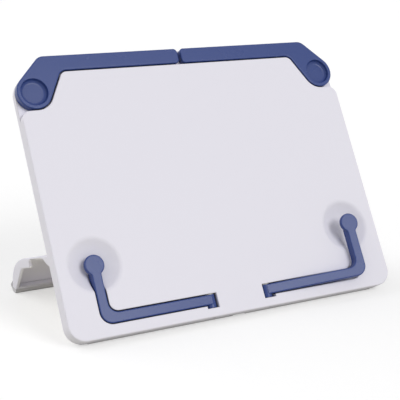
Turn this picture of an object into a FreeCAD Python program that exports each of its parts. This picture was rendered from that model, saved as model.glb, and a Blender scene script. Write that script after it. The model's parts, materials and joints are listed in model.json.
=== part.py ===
import FreeCAD, Part
import math
import os

from FreeCAD import Vector

# Folding book stand. Lengths in millimetres, angles in degrees.
# The panel's pieces are drawn flat: x across the panel, y up its face from the bottom edge and z out of the
# face. They are then leaned back and set on the floor, which is z = 0 of the finished part.

# How far a cutter reaches past the face that it cuts, and how near two places count as one
overcut = 1.0
near = 1e-4

# Panel
panel_width = 310.0
panel_height = 240.0
panel_depth = 15.0
panel_lean = 30.0
bottom_corner_radius = 14.0
face_corner_radius = 8.0
face_thickness = 3.0
front_edge_round = 1.0
back_edge_round = 2.6

# Back cover, let into the back of the panel
cover_thickness = 2.5
cover_rim = 2.8
cover_ledge = 2.0
cover_clearance = 0.2
cover_boss_radius = 4.0
cover_screw_inset = 13.0
cover_screw_low_y = 24.0
cover_screw_side_y = 150.0
cover_screw_middle_x = 48.0
cover_screw_middle_y = 60.0
cover_screw_top_x = 72.0
cover_screw_top_drop = 28.0

# Screws
screw_radius = 1.45
screw_head_radius = 2.8
screw_head_height = 1.4
screw_boss_left = 5.6
screw_hole_clearance = 0.02
screw_pass_clearance = 0.15
screw_head_clearance = 0.3
drive_recess_radius = 1.1
drive_recess_depth = 0.8

# Wings in the top corners
wing_thickness = 6.5
wing_bar_width = 13.7
wing_end_radius = 15.0
wing_pivot_drop = 31.0
wing_diagonal_angle = 61.0
wing_diagonal_fillet = 8.0
wing_chamfer_angle = 45.0
wing_top_corner_radius = 10.0
wing_tip_radius = 3.5
wing_centre_gap = 2.8
wing_edge_round = 1.1
wing_gap = 1.1
wing_under_gap = 0.25
thumb_dimple_radius = 11.6
thumb_dimple_depth = 4.2
thumb_dimple_round = 3.0
thumb_dimple_rim = 0.6
rebate_floor = 2.0
wing_boss_radius = 5.0
wing_boss_clearance = 0.05
wing_washer_radius = 8.0
wing_washer_thickness = 0.8
wing_screw_skin = 1.75
spring_washer_thickness = 0.4
spring_washer_width = 2.4
spring_washer_clearance = 0.05

# Page holders in the lower slots
holder_axis_x = 27.3
holder_axis_depth = 4.7
holder_line_y = 14.7
holder_width = 8.6
holder_thickness = 8.0
holder_upright_inset = 32.7
holder_upright_width = 8.4
holder_outer_radius = 10.0
holder_inner_radius = 8.0
holder_edge_round = 1.1
holder_ajar = 5.6
head_y = 59.0
head_radius = 8.5
head_depth = 3.2
head_neck_radius = 2.5
barrel_radius = 4.3
barrel_below = 2.6
slot_gap = 0.8
slot_floor_gap = 0.7
slot_end_gap = 0.35
slot_wall = 2.0
slot_edge_round = 0.4
barrel_gap = 0.4
barrel_notch_margin = 1.6
pin_radius = 1.5
pin_seat = 6.0
pin_recess = 1.0
pin_hole_clearance = 0.02
barrel_bore_clearance = 0.05
holder_washer_radius = 3.6
holder_washer_clearance = 0.05

# Finger dishes round the heads
dish_y = 58.8
dish_radius = 24.0
dish_depth = 9.3
dish_rim_round = 6.5
dish_rim_slope = 8.0
dish_wall = 2.0

# Leg hinge on the back cover
hinge_y = 71.0
hinge_gap = 0.5
hinge_inset = 60.0
knuckle_radius = 5.0
knuckle_length = 12.0
lug_thickness = 4.0
friction_washer_thickness = 1.0
friction_washer_radius = 4.8
friction_washer_clearance = 0.05
bolt_radius = 2.0
bolt_clearance = 0.05
bolt_head_radius = 3.6
bolt_head_height = 2.4
nut_across_flats = 7.0
nut_height = 3.2
lug_window_margin = 2.0

# Rear leg: flat plate, easy bend, tight bend, heel and foot
leg_inset = 7.0
leg_flat_length = 79.0
leg_plate = 2.3
leg_rim_depth = 8.8
leg_end_wall = 2.5
easy_bend_radius = 70.0
easy_bend_turn = 18.0
heel_bend_radius = 28.0
heel_bend_turn = 52.0
leg_edge_round = 1.2
gusset_start = 87.0
gusset_radius = 12.0
foot_flange_drop = 3.5
foot_flange_width = 9.6
foot_flange_thickness = 2.5
finger_notch_start = 12.0
finger_notch_slant = 14.0
finger_notch_end = 61.0
finger_notch_lean = 3.0
finger_notch_radius = 3.0
finger_hook_radius = 2.0
finger_hook_runout = 0.02
finger_scoop_lip = 1.3
finger_scoop_width = 6.0
leg_rib_width = 3.0
leg_rib_length = 62.0

# Foot strip under the heel
strip_thickness = 4.05
strip_lip = 4.6
strip_lip_height = 5.0
strip_lip_edge = 1.1
strip_sole_front = 7.7
strip_sole_back = 3.4
strip_nose_height = 2.2

# Grip pads under the panel's lower rear edge
pad_length = 132.0
pad_inset = 83.0
pad_height = 1.0
pad_stand = -0.6
pad_clearance = 0.1
pad_edge_round = 0.5

# Places worked out from the sizes above
half_width = panel_width / 2
lean_turn = 90.0 - panel_lean
cover_seat_z = cover_thickness - panel_depth
cover_screw_places = (
    (half_width - cover_screw_inset, cover_screw_low_y),
    (cover_screw_middle_x, cover_screw_middle_y),
    (half_width - cover_screw_inset, cover_screw_side_y),
    (cover_screw_top_x, panel_height - cover_screw_top_drop),
)
screw_seat_z = screw_head_height - panel_depth
screw_length = -screw_boss_left - screw_seat_z
rebate_z = -(wing_thickness + wing_under_gap)
rebate_under_z = rebate_z - rebate_floor
wing_pivot_x = half_width - wing_end_radius
wing_pivot_y = panel_height - wing_pivot_drop
spring_room = spring_washer_thickness + 2 * spring_washer_clearance
wing_boss_end_z = rebate_under_z - spring_room
wing_screw_length = -thumb_dimple_depth - wing_screw_skin - wing_boss_end_z
holder_upright_x = half_width - holder_upright_inset
holder_axis_z = -holder_axis_depth
holder_low_y = holder_line_y - holder_width / 2
holder_high_y = holder_line_y + holder_width / 2
barrel_low_y = holder_low_y - barrel_below
slot_depth = holder_thickness + slot_floor_gap
slot_end_x = holder_axis_x - max(barrel_radius, holder_axis_depth) - slot_end_gap
barrel_pocket_depth = holder_axis_depth + barrel_radius + barrel_gap
hinge_z = -(panel_depth + knuckle_radius + hinge_gap)
hinge_station_x = half_width - hinge_inset
pad_station_x = half_width - pad_inset
leg_half_width = half_width - leg_inset
knuckle_half = knuckle_length / 2
lug_inner = knuckle_half + friction_washer_thickness + 2 * friction_washer_clearance
lug_outer = lug_inner + lug_thickness
window_half = lug_outer + max(bolt_head_height, nut_height) + lug_window_margin
window_length = knuckle_radius + lug_window_margin
front_edge_height = pad_stand + panel_depth * math.sin(math.radians(panel_lean))


def rounded_outline(corners):
    """Closed wire in the xy plane through (x, y, radius) corners, each rounded by a tangent arc."""
    stretches = []
    count = len(corners)
    for index in range(count):
        before = Vector(*corners[index - 1][:2])
        corner = Vector(*corners[index][:2])
        after = Vector(*corners[(index + 1) % count][:2])
        radius = corners[index][2]
        arriving = (corner - before).normalize()
        leaving = (after - corner).normalize()
        half_turn = arriving.getAngle(leaving) / 2
        if radius <= 0:
            stretches.append((corner, None, corner))
            continue
        tangent = radius * math.tan(half_turn)
        inward = (leaving - arriving).normalize()
        middle = corner + inward * (radius / math.cos(half_turn) - radius)
        stretches.append((corner - arriving * tangent, middle, corner + leaving * tangent))
    edges = []
    for index in range(count):
        start, middle, end = stretches[index]
        if middle is not None:
            edges.append(Part.Arc(start, middle, end).toShape())
        following = stretches[(index + 1) % count][0]
        if end.distanceToPoint(following) > near:
            edges.append(Part.LineSegment(end, following).toShape())
    return Part.Wire(edges)


def prism(outline, low, high):
    """Solid between two heights over an outline in the xy plane."""
    face = Part.Face(outline)
    face.translate(Vector(0, 0, low))
    return face.extrude(Vector(0, 0, high - low))


def inset_prism(outline, inset, low, high):
    """Solid over an outline moved inward."""
    return prism(outline.makeOffset2D(-inset), low, high)


def edges_at_height(shape, height):
    """Edges of a shape that lie flat at one height."""
    flat = []
    for edge in shape.Edges:
        box = edge.BoundBox
        if abs(box.ZMin - height) < near and abs(box.ZMax - height) < near:
            flat.append(edge)
    return flat


def cylinder_z(radius, x, y, low, high):
    """Upright cylinder between two heights."""
    return Part.makeCylinder(radius, high - low, Vector(x, y, low))


def cylinder_y(radius, x, z, low, high):
    """Cylinder along y."""
    return Part.makeCylinder(radius, high - low, Vector(x, low, z), Vector(0, 1, 0))


def cylinder_x(radius, y, z, low, high):
    """Cylinder along x."""
    return Part.makeCylinder(radius, high - low, Vector(low, y, z), Vector(1, 0, 0))


def block(x_low, x_high, y_low, y_high, z_low, z_high):
    """Box between two corners."""
    return Part.makeBox(x_high - x_low, y_high - y_low, z_high - z_low, Vector(x_low, y_low, z_low))


def mirrored(shape):
    """The same shape on the other side of the centre plane."""
    return shape.mirror(Vector(0, 0, 0), Vector(1, 0, 0))


def both_sides(shape):
    """A shape and its mirror image."""
    return [shape, mirrored(shape)]


def joined(shapes):
    """One solid from overlapping shapes."""
    return shapes[0].fuse(shapes[1:]).removeSplitter()


# Outlines of the panel, its rebates and its wings

def wing_elbow(gap):
    """Corners where the wing's inner edge leaves its round end and meets its bar, moved out by a gap."""
    radius = wing_end_radius + gap
    low = wing_pivot_y - radius
    turn = math.radians(wing_diagonal_angle)
    elbow_x = wing_pivot_x - radius * math.tan(turn / 2)
    bar_low = panel_height - wing_bar_width - gap
    meet_x = elbow_x - (bar_low - low) / math.tan(turn)
    return (elbow_x, low, radius), (meet_x, bar_low, wing_diagonal_fillet - gap)


def top_corners():
    """Corners of the chamfer that runs from the panel's side to its top edge."""
    turn = math.radians(90.0 - wing_chamfer_angle)
    side_y = wing_pivot_y + wing_end_radius * math.tan(turn / 2)
    top_x = half_width - (panel_height - side_y) / math.tan(math.radians(wing_chamfer_angle))
    return (half_width, side_y, wing_end_radius), (top_x, panel_height, wing_top_corner_radius)


def two_sided(right_corners):
    """Outline from the right-hand corners, listed upwards, and their mirror images."""
    left_corners = [(-x, y, radius) for x, y, radius in reversed(right_corners)]
    return rounded_outline(right_corners + left_corners)


def face_outline():
    """Outline of the raised face, which stops below the wings."""
    elbow, meet = wing_elbow(wing_gap)
    bottom = (half_width, 0.0, bottom_corner_radius)
    shoulder = (half_width, elbow[1], face_corner_radius)
    return two_sided([bottom, shoulder, elbow, meet])


def body_outline():
    """Outline of the whole panel."""
    side, top = top_corners()
    return two_sided([(half_width, 0.0, bottom_corner_radius), side, top])


def wing_outline():
    """Outline of the right wing."""
    elbow, meet = wing_elbow(0.0)
    side, top = top_corners()
    tip_x = wing_centre_gap / 2
    end_low = (half_width, elbow[1], wing_end_radius)
    tip_high = (tip_x, panel_height, wing_tip_radius)
    tip_low = (tip_x, meet[1], wing_tip_radius)
    return rounded_outline([end_low, side, top, tip_high, tip_low, meet, elbow])


def holder_outline(gap, inner_end):
    """L outline of the right page holder, moved out by a gap, from its inner end to the head."""
    outer_x = holder_upright_x + holder_upright_width / 2 + gap
    inner_x = holder_upright_x - holder_upright_width / 2 - gap
    low = holder_low_y - gap
    high = holder_high_y + gap
    return rounded_outline([
        (inner_end, low, 0.0),
        (outer_x, low, holder_outer_radius + gap),
        (outer_x, head_y, 0.0),
        (inner_x, head_y, 0.0),
        (inner_x, high, max(holder_inner_radius - gap, holder_edge_round)),
        (inner_end, high, 0.0),
    ])


# Pieces of the panel, drawn flat

def dish_rim_centre():
    """Centre (r, z) of the arc that rounds the dish's rim, which runs out on the face at a small slope."""
    slope = math.radians(dish_rim_slope)
    return dish_radius + dish_rim_round * math.sin(slope), -dish_rim_round * math.cos(slope)


def dish_sphere_height():
    """Height of the centre of the sphere that is the dish's bowl and touches the rim's arc."""
    rim_r, rim_z = dish_rim_centre()
    reach = dish_depth + dish_rim_round
    return (rim_r ** 2 + rim_z ** 2 - reach ** 2) / (2 * (reach + rim_z))


def dish_cutter():
    """What the right finger dish takes out of the face: a bowl with a rounded rim."""
    rim_r, rim_z = dish_rim_centre()
    height = dish_sphere_height()
    bowl_turn = math.atan2(rim_r, height - rim_z)
    rim_turn = (bowl_turn + math.radians(dish_rim_slope)) / 2
    sphere = height + dish_depth

    def bowl_point(turn):
        return Vector(sphere * math.sin(turn), 0, height - sphere * math.cos(turn))

    def rim_point(turn):
        return Vector(rim_r - dish_rim_round * math.sin(turn), 0, rim_z + dish_rim_round * math.cos(turn))

    bottom = bowl_point(0.0)
    meeting = bowl_point(bowl_turn)
    edge = rim_point(math.radians(dish_rim_slope))
    top_edge = Vector(edge.x, 0, overcut)
    top = Vector(0, 0, overcut)
    meridian = Part.Wire([
        Part.Arc(bottom, bowl_point(bowl_turn / 2), meeting).toShape(),
        Part.Arc(meeting, rim_point(rim_turn), edge).toShape(),
        Part.LineSegment(edge, top_edge).toShape(),
        Part.LineSegment(top_edge, top).toShape(),
        Part.LineSegment(top, bottom).toShape(),
    ])
    bowl = Part.Face(meridian).revolve(Vector(0, 0, 0), Vector(0, 0, 1), 360.0)
    return bowl.translated(Vector(holder_upright_x, dish_y, 0))


def slot_cutters():
    """What the right page holder needs cut away: its slot, barrel pocket, finger dish and pin hole."""
    slot = prism(holder_outline(slot_gap, slot_end_x), -slot_depth, overcut)
    notch_end = holder_axis_x + barrel_radius + barrel_notch_margin
    pocket_low = barrel_low_y - barrel_gap
    pocket = block(slot_end_x, notch_end, pocket_low, holder_high_y + slot_gap, -barrel_pocket_depth, overcut)
    pin_high = holder_high_y + slot_gap + pin_seat
    pin_hole = cylinder_y(pin_radius + pin_hole_clearance, holder_axis_x, holder_axis_z, -overcut, pin_high)
    return [slot, pocket, dish_cutter(), pin_hole]


def slot_casing():
    """Walls behind the face that close the right holder's slot, barrel pocket and finger dish."""
    around = slot_gap + slot_wall
    casing = prism(holder_outline(around, slot_end_x - slot_wall), -slot_depth - slot_wall, 0.0)
    notch_end = holder_axis_x + barrel_radius + barrel_notch_margin + slot_wall
    pin_high = holder_high_y + slot_gap + pin_seat + slot_wall
    pocket_floor = -barrel_pocket_depth - slot_wall
    pocket = block(slot_end_x - slot_wall, notch_end, 0.0, pin_high, pocket_floor, 0.0)
    height = dish_sphere_height()
    dish = Part.makeSphere(height + dish_depth + dish_wall, Vector(holder_upright_x, dish_y, height))
    return [casing, pocket, dish]


def pad_seat():
    """Cutter, in the finished frame, for the flat seat of the right grip pad."""
    half = pad_length / 2 + pad_clearance
    reach = panel_depth
    return block(pad_station_x - half, pad_station_x + half, -reach, reach, -reach, pad_height)


def lower_rear_edge(shape):
    """Move a shape from the place of the panel's lower rear edge in the finished frame to the drawn frame."""
    lifted = shape.translated(Vector(0, 0, -pad_stand))
    turned = lifted.rotated(Vector(0, 0, 0), Vector(1, 0, 0), -lean_turn)
    return turned.translated(Vector(0, 0, -panel_depth))


def front_panel():
    """Moulded shell with the face, the walls, the slots and the rebates for the wings."""
    face = prism(face_outline(), rebate_z, 0.0)
    face = face.makeFillet(front_edge_round, edges_at_height(face, 0.0))
    body = prism(body_outline(), -panel_depth, rebate_z)
    body = body.makeFillet(back_edge_round, edges_at_height(body, -panel_depth))
    shell = joined([body, face])
    wall = cover_rim + cover_ledge
    lower_hollow = inset_prism(body_outline(), wall, cover_seat_z, rebate_under_z)
    upper_hollow = inset_prism(face_outline(), wall, rebate_under_z - overcut, -face_thickness)
    hollow = joined([lower_hollow, upper_hollow])
    kept = []
    for casing in slot_casing():
        kept += both_sides(casing)
    for x, y in cover_screw_places:
        kept += both_sides(cylinder_z(cover_boss_radius, x, y, cover_seat_z, 0.0))
    hollow = hollow.cut(kept)
    cuts = [hollow, inset_prism(body_outline(), cover_rim, -panel_depth - overcut, cover_seat_z)]
    for cutter in slot_cutters():
        cuts += both_sides(cutter)
    for x, y in cover_screw_places:
        hole = cylinder_z(screw_radius + screw_hole_clearance, x, y, cover_seat_z - overcut, -screw_boss_left)
        cuts += both_sides(hole)
    hole_radius = wing_boss_radius + wing_boss_clearance
    hole_low = rebate_under_z - overcut
    cuts += both_sides(cylinder_z(hole_radius, wing_pivot_x, wing_pivot_y, hole_low, rebate_z + overcut))
    cuts += both_sides(lower_rear_edge(pad_seat()))
    shell = shell.cut(cuts)
    return shell.makeFillet(slot_edge_round, slot_edges(shell))


def slot_edges(shell):
    """Edges where the page holders' slots open on the panel's face."""
    reach = slot_gap + near
    low = barrel_low_y - barrel_gap - near
    high = dish_y - dish_radius
    outer_x = holder_upright_x + holder_upright_width / 2 + reach
    chosen = []
    for edge in edges_at_height(shell, 0.0):
        box = edge.BoundBox
        across = max(abs(box.XMin), abs(box.XMax)) < outer_x
        if across and box.YMin > low and box.YMax < dish_y and box.YMin < high:
            chosen.append(edge)
    return chosen


def screw(length):
    """Pan screw along z: its head's seat at height 0, the shank above it and a drive recess below."""
    head = cylinder_z(screw_head_radius, 0.0, 0.0, -screw_head_height, 0.0)
    shank = cylinder_z(screw_radius, 0.0, 0.0, -screw_head_height / 2, length)
    recess_low = -screw_head_height - overcut
    recess_high = drive_recess_depth - screw_head_height
    recess = cylinder_z(drive_recess_radius, 0.0, 0.0, recess_low, recess_high)
    return joined([head, shank]).cut(recess)


def back_cover():
    """Flat cover with screw counterbores and the lugs of the leg's hinge."""
    plate = inset_prism(body_outline(), cover_rim + cover_clearance, -panel_depth, cover_seat_z)
    lugs = []
    for inner in (lug_inner, -lug_outer):
        low = hinge_station_x + inner
        high = low + lug_thickness
        web = block(low, high, hinge_y - knuckle_radius, hinge_y + knuckle_radius, hinge_z, cover_seat_z)
        nose = cylinder_x(knuckle_radius, hinge_y, hinge_z, low, high)
        lugs += both_sides(joined([web, nose]))
    cover = joined([plate] + lugs)
    cuts = []
    for x, y in cover_screw_places:
        low = -panel_depth - overcut
        head_hole = cylinder_z(screw_head_radius + screw_head_clearance, x, y, low, screw_seat_z)
        pass_hole = cylinder_z(screw_radius + screw_pass_clearance, x, y, low, cover_seat_z + overcut)
        cuts += both_sides(joined([head_hole, pass_hole]))
    low = hinge_station_x - lug_outer - overcut
    high = hinge_station_x + lug_outer + overcut
    cuts += both_sides(cylinder_x(bolt_radius + bolt_clearance, hinge_y, hinge_z, low, high))
    cuts += both_sides(lower_rear_edge(pad_seat()))
    return cover.cut(cuts)


def back_cover_screws():
    """All the cover's screws, as one group."""
    screws = []
    for x, y in cover_screw_places:
        screws += both_sides(screw(screw_length).translated(Vector(x, y, screw_seat_z)))
    return Part.makeCompound(screws)


def right_wing():
    """Swing-out top support with its thumb dimple and pivot boss."""
    plate = prism(wing_outline(), -wing_thickness, 0.0)
    plate = plate.makeFillet(wing_edge_round, edges_at_height(plate, 0.0))
    boss_top = -(wing_thickness + thumb_dimple_depth) / 2
    boss = cylinder_z(wing_boss_radius, wing_pivot_x, wing_pivot_y, wing_boss_end_z, boss_top)
    dimple = cylinder_z(thumb_dimple_radius, wing_pivot_x, wing_pivot_y, -thumb_dimple_depth, overcut)
    hole_radius = screw_radius + screw_hole_clearance
    hole_low = wing_boss_end_z - overcut
    hole_high = wing_boss_end_z + wing_screw_length
    hole = cylinder_z(hole_radius, wing_pivot_x, wing_pivot_y, hole_low, hole_high)
    wing = joined([plate, boss]).cut([dimple, hole])
    wing = wing.makeFillet(thumb_dimple_round, edges_at_height(wing, -thumb_dimple_depth))
    rim = []
    for edge in edges_at_height(wing, 0.0):
        if edge.Curve.TypeId == "Part::GeomCircle" and abs(edge.Curve.Radius - thumb_dimple_radius) < near:
            rim.append(edge)
    return wing.makeFillet(thumb_dimple_rim, rim)


def wing_fasteners():
    """Spring washer, washer and screw behind the right wing's boss."""
    inner = wing_boss_radius + screw_pass_clearance
    ring_low = wing_boss_end_z + spring_washer_clearance
    ring_high = ring_low + spring_washer_thickness
    ring = cylinder_z(inner + spring_washer_width, wing_pivot_x, wing_pivot_y, ring_low, ring_high)
    ring = ring.cut(cylinder_z(inner, wing_pivot_x, wing_pivot_y, ring_low - overcut, ring_high + overcut))
    washer_low = wing_boss_end_z - wing_washer_thickness
    washer = cylinder_z(wing_washer_radius, wing_pivot_x, wing_pivot_y, washer_low, wing_boss_end_z)
    hole_radius = screw_radius + screw_pass_clearance
    hole_high = wing_boss_end_z + overcut
    washer = washer.cut(cylinder_z(hole_radius, wing_pivot_x, wing_pivot_y, washer_low - overcut, hole_high))
    fastener = screw(wing_screw_length + wing_washer_thickness)
    fastener = fastener.translated(Vector(wing_pivot_x, wing_pivot_y, washer_low))
    return ring, washer, fastener


def neck_edges(arm):
    """Inner corners where the sides of the page holder's upright meet its round head."""
    chosen = []
    for edge in arm.Edges:
        box = edge.BoundBox
        upright = box.XLength < near and box.YLength < near and box.ZMax > -near
        if upright and head_y - head_radius < box.YMin < head_y:
            chosen.append(edge)
    return chosen


def right_page_holder():
    """L arm with its round head and hinge barrel, lying flush in its slot."""
    arm = prism(holder_outline(0.0, holder_axis_x), -holder_thickness, 0.0)
    head = cylinder_z(head_radius, holder_upright_x, head_y, -head_depth, 0.0)
    arm = arm.fuse(head).removeSplitter()
    arm = arm.makeFillet(head_neck_radius, neck_edges(arm))
    rounded = [edge for edge in edges_at_height(arm, 0.0) if edge.BoundBox.XMax > holder_axis_x + near]
    arm = arm.makeFillet(holder_edge_round, rounded)
    barrel = cylinder_y(barrel_radius, holder_axis_x, holder_axis_z, barrel_low_y, holder_high_y)
    bore_radius = pin_radius + barrel_bore_clearance
    bore_low = barrel_low_y - overcut
    bore = cylinder_y(bore_radius, holder_axis_x, holder_axis_z, bore_low, holder_high_y + overcut)
    return arm.fuse(barrel).cut(bore)


def right_holder_pin():
    """Hinge pin, pushed up from the panel's bottom edge."""
    pin_high = holder_high_y + slot_gap + pin_seat
    return cylinder_y(pin_radius, holder_axis_x, holder_axis_z, pin_recess, pin_high)


def right_holder_washer():
    """Friction washer between the barrel's upper end and the slot's wall."""
    low = holder_high_y + holder_washer_clearance
    high = holder_high_y + slot_gap - holder_washer_clearance
    washer = cylinder_y(holder_washer_radius, holder_axis_x, holder_axis_z, low, high)
    bore_radius = pin_radius + barrel_bore_clearance
    return washer.cut(cylinder_y(bore_radius, holder_axis_x, holder_axis_z, low - overcut, high + overcut))


def opened(shape, angle):
    """Turn the right page holder's pieces out of their slot."""
    axis_point = Vector(holder_axis_x, 0, holder_axis_z)
    return shape.rotated(axis_point, Vector(0, -1, 0), angle)


def leg_hinge_bolts():
    """Hinge bolts with their heads outboard."""
    shank_end = lug_outer + bolt_head_height / 2
    shank = cylinder_x(bolt_radius, hinge_y, hinge_z, -lug_outer - nut_height, shank_end)
    head = cylinder_x(bolt_head_radius, hinge_y, hinge_z, lug_outer, lug_outer + bolt_head_height)
    head_end = lug_outer + bolt_head_height
    recess_low = head_end - drive_recess_depth
    recess = cylinder_x(drive_recess_radius, hinge_y, hinge_z, recess_low, head_end + overcut)
    bolt = joined([shank, head]).cut(recess)
    return Part.makeCompound(both_sides(bolt.translated(Vector(hinge_station_x, 0, 0))))


def leg_hinge_nuts():
    """Hexagon nuts at the bolts' inboard ends."""
    corner = nut_across_flats / 2 / math.cos(math.radians(30.0))
    points = []
    for index in range(6):
        angle = math.radians(60.0 * index)
        points.append((corner * math.cos(angle), corner * math.sin(angle), 0.0))
    nut = prism(rounded_outline(points), 0.0, nut_height)
    hole_radius = bolt_radius + screw_hole_clearance
    nut = nut.cut(cylinder_z(hole_radius, 0.0, 0.0, -overcut, nut_height + overcut))
    nut = nut.rotated(Vector(0, 0, 0), Vector(0, 1, 0), 90.0)
    nut = nut.translated(Vector(hinge_station_x - lug_outer - nut_height, hinge_y, hinge_z))
    return Part.makeCompound(both_sides(nut))


def leg_friction_washers():
    """Washers between the leg's knuckles and the lugs."""
    washers = []
    low = knuckle_half + friction_washer_clearance
    for start in (low, -low - friction_washer_thickness):
        end = start + friction_washer_thickness
        washer = cylinder_x(friction_washer_radius, hinge_y, hinge_z, start, end)
        bore = cylinder_x(bolt_radius + bolt_clearance, hinge_y, hinge_z, start - overcut, end + overcut)
        washers += both_sides(washer.cut(bore).translated(Vector(hinge_station_x, 0, 0)))
    return Part.makeCompound(washers)


# Rear leg, drawn with y along its plate from the hinge axis and z out of its upper side

def leg_path(inset):
    """Corners of the leg's outer curve, moved inward, from the hinge to the end of the heel bend."""
    easy_turn = math.radians(easy_bend_turn)
    full_turn = math.radians(easy_bend_turn + heel_bend_turn)
    easy_radius = easy_bend_radius - inset
    heel_radius = heel_bend_radius - inset
    easy_tangent = easy_radius * math.tan(easy_turn / 2)
    heel_tangent = heel_radius * math.tan(math.radians(heel_bend_turn) / 2)
    first = (leg_flat_length + easy_tangent, knuckle_radius - inset)
    run = easy_tangent + heel_tangent
    second = (first[0] + run * math.cos(easy_turn), first[1] - run * math.sin(easy_turn))
    end_y = second[0] + heel_tangent * math.cos(full_turn)
    end_z = second[1] - heel_tangent * math.sin(full_turn)
    return first + (easy_radius,), second + (heel_radius,), (end_y, end_z)


def heel_point(outward, down, radius=0.0):
    """Corner measured from the end of the heel bend: out of the leg's outer side and on down the heel."""
    turn = math.radians(easy_bend_turn + heel_bend_turn)
    end_y, end_z = leg_path(0.0)[2]
    y = end_y + outward * math.sin(turn) + down * math.cos(turn)
    z = end_z + outward * math.cos(turn) - down * math.sin(turn)
    return (y, z, radius)


def sole_point():
    """Middle of the foot strip's sole."""
    middle = -(strip_sole_front + strip_sole_back) / 2
    return heel_point(middle, foot_flange_drop + strip_thickness)


def leg_slope():
    """Slope of the leg's plate at which the sole comes down to the floor."""
    sole_y, sole_z, _ = sole_point()
    reach = math.hypot(sole_y, sole_z)
    below_plate = math.atan2(-sole_z, sole_y)
    return math.degrees(math.asin(hinge_place().z / reach) - below_plate)


def along_x(outline, x_low, x_high):
    """Solid over an outline drawn as (y, z) corners, between two places across the stand."""
    solid = prism(outline, 0.0, x_high - x_low)
    solid = solid.rotated(Vector(0, 0, 0), Vector(1, 1, 1), 120.0)
    return solid.translated(Vector(x_low, 0, 0))


def rear_leg():
    """Tray-shaped leg with end walls, finger notches, foot flange and hinge knuckles."""
    half = leg_half_width
    first, second, _ = leg_path(0.0)
    rim_z = knuckle_radius - leg_rim_depth
    band = rounded_outline([
        (0.0, knuckle_radius, 0.0),
        first,
        second,
        heel_point(0.0, foot_flange_drop),
        heel_point(-foot_flange_width, foot_flange_drop),
        (gusset_start, rim_z, gusset_radius),
        (0.0, rim_z, 0.0),
    ])
    solid = along_x(band, -half, half)
    solid = solid.makeFillet(leg_edge_round, outer_leg_edges(solid))
    first, second, _ = leg_path(leg_plate)
    flange_top = foot_flange_drop - foot_flange_thickness
    hollow = rounded_outline([
        (-knuckle_radius, knuckle_radius - leg_plate, 0.0),
        first,
        second,
        heel_point(-leg_plate, flange_top),
        heel_point(-2 * foot_flange_width, flange_top),
        (-knuckle_radius, -leg_flat_length, 0.0),
    ])
    cuts = [along_x(hollow, leg_end_wall - half, half - leg_end_wall)]
    notch = rounded_outline([
        (finger_notch_start, rim_z - overcut, 0.0),
        (finger_notch_start + finger_notch_slant, knuckle_radius - leg_plate, finger_notch_radius),
        (finger_notch_end + finger_notch_lean, knuckle_radius - leg_plate, finger_hook_radius),
        (finger_notch_end, rim_z, finger_hook_radius),
        (gusset_start - gusset_radius, rim_z - finger_hook_runout, 0.0),
        (gusset_start - gusset_radius, rim_z - overcut, 0.0),
    ])
    cuts.append(along_x(notch, -half - overcut, half + overcut))
    cuts += both_sides(finger_scoop())
    for low, high in ((knuckle_half, window_half), (-window_half, -knuckle_half)):
        window = block(low, high, -overcut, window_length, 0.0, knuckle_radius + overcut)
        cuts += both_sides(window.translated(Vector(hinge_station_x, 0, 0)))
    tray = solid.cut(cuts)
    knuckle = cylinder_x(knuckle_radius, 0.0, 0.0, -knuckle_half, knuckle_half)
    rib_half = leg_rib_width / 2
    rib = block(-rib_half, rib_half, 0.0, leg_rib_length, rim_z, knuckle_radius - leg_plate / 2)
    hinge = joined([knuckle, rib]).translated(Vector(hinge_station_x, 0, 0))
    tray = joined([tray] + both_sides(hinge))
    bore_half = knuckle_half + overcut
    bore = cylinder_x(bolt_radius + bolt_clearance, 0.0, 0.0, -bore_half, bore_half)
    return tray.cut(both_sides(bore.translated(Vector(hinge_station_x, 0, 0))))


def finger_scoop():
    """What thins the plate's lower side to a lip along the right finger notch."""
    end_x = leg_half_width + overcut
    inner_x = leg_half_width - finger_scoop_width
    plate_z = knuckle_radius - leg_plate
    lip_z = knuckle_radius - finger_scoop_lip
    start = finger_notch_start + finger_notch_slant + finger_notch_radius
    corners = [(end_x, lip_z), (leg_half_width, lip_z), (inner_x, plate_z), (inner_x, plate_z - overcut),
               (end_x, plate_z - overcut), (end_x, lip_z)]
    profile = Part.makePolygon([Vector(x, start, z) for x, z in corners])
    end = finger_notch_end - finger_hook_radius
    return Part.Face(profile).extrude(Vector(0, end - start, 0))


def outer_leg_edges(solid):
    """Edges along the leg's outer curve at its two ends."""
    chosen = []
    heel_end_z = leg_path(0.0)[2][1]
    for edge in solid.Edges:
        box = edge.BoundBox
        at_end = box.XMax - box.XMin < near
        on_plate = abs(box.ZMin - knuckle_radius) < near and box.YMax < leg_flat_length + near
        round_edge = edge.Curve.TypeId == "Part::GeomCircle"
        on_bend = round_edge and box.YMin > leg_flat_length - near and box.ZMin > heel_end_z - near
        if at_end and (on_plate or on_bend):
            chosen.append(edge)
    return chosen


def leg_foot_strip():
    """Grip strip that wraps the heel's lower end, with a lip behind and a sole below."""
    sole = foot_flange_drop + strip_thickness
    lip_top = foot_flange_drop - strip_lip_height
    lip_low = foot_flange_drop - strip_lip_edge / 2
    outline = rounded_outline([
        heel_point(0.0, lip_top),
        heel_point(strip_lip, lip_low),
        heel_point(strip_lip, lip_low + strip_lip_edge),
        heel_point(-strip_sole_back, sole),
        heel_point(-strip_sole_front, sole),
        heel_point(-foot_flange_width, foot_flange_drop + strip_nose_height),
        heel_point(-foot_flange_width, foot_flange_drop),
        heel_point(0.0, foot_flange_drop),
    ])
    return along_x(outline, -leg_half_width, leg_half_width)


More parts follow.
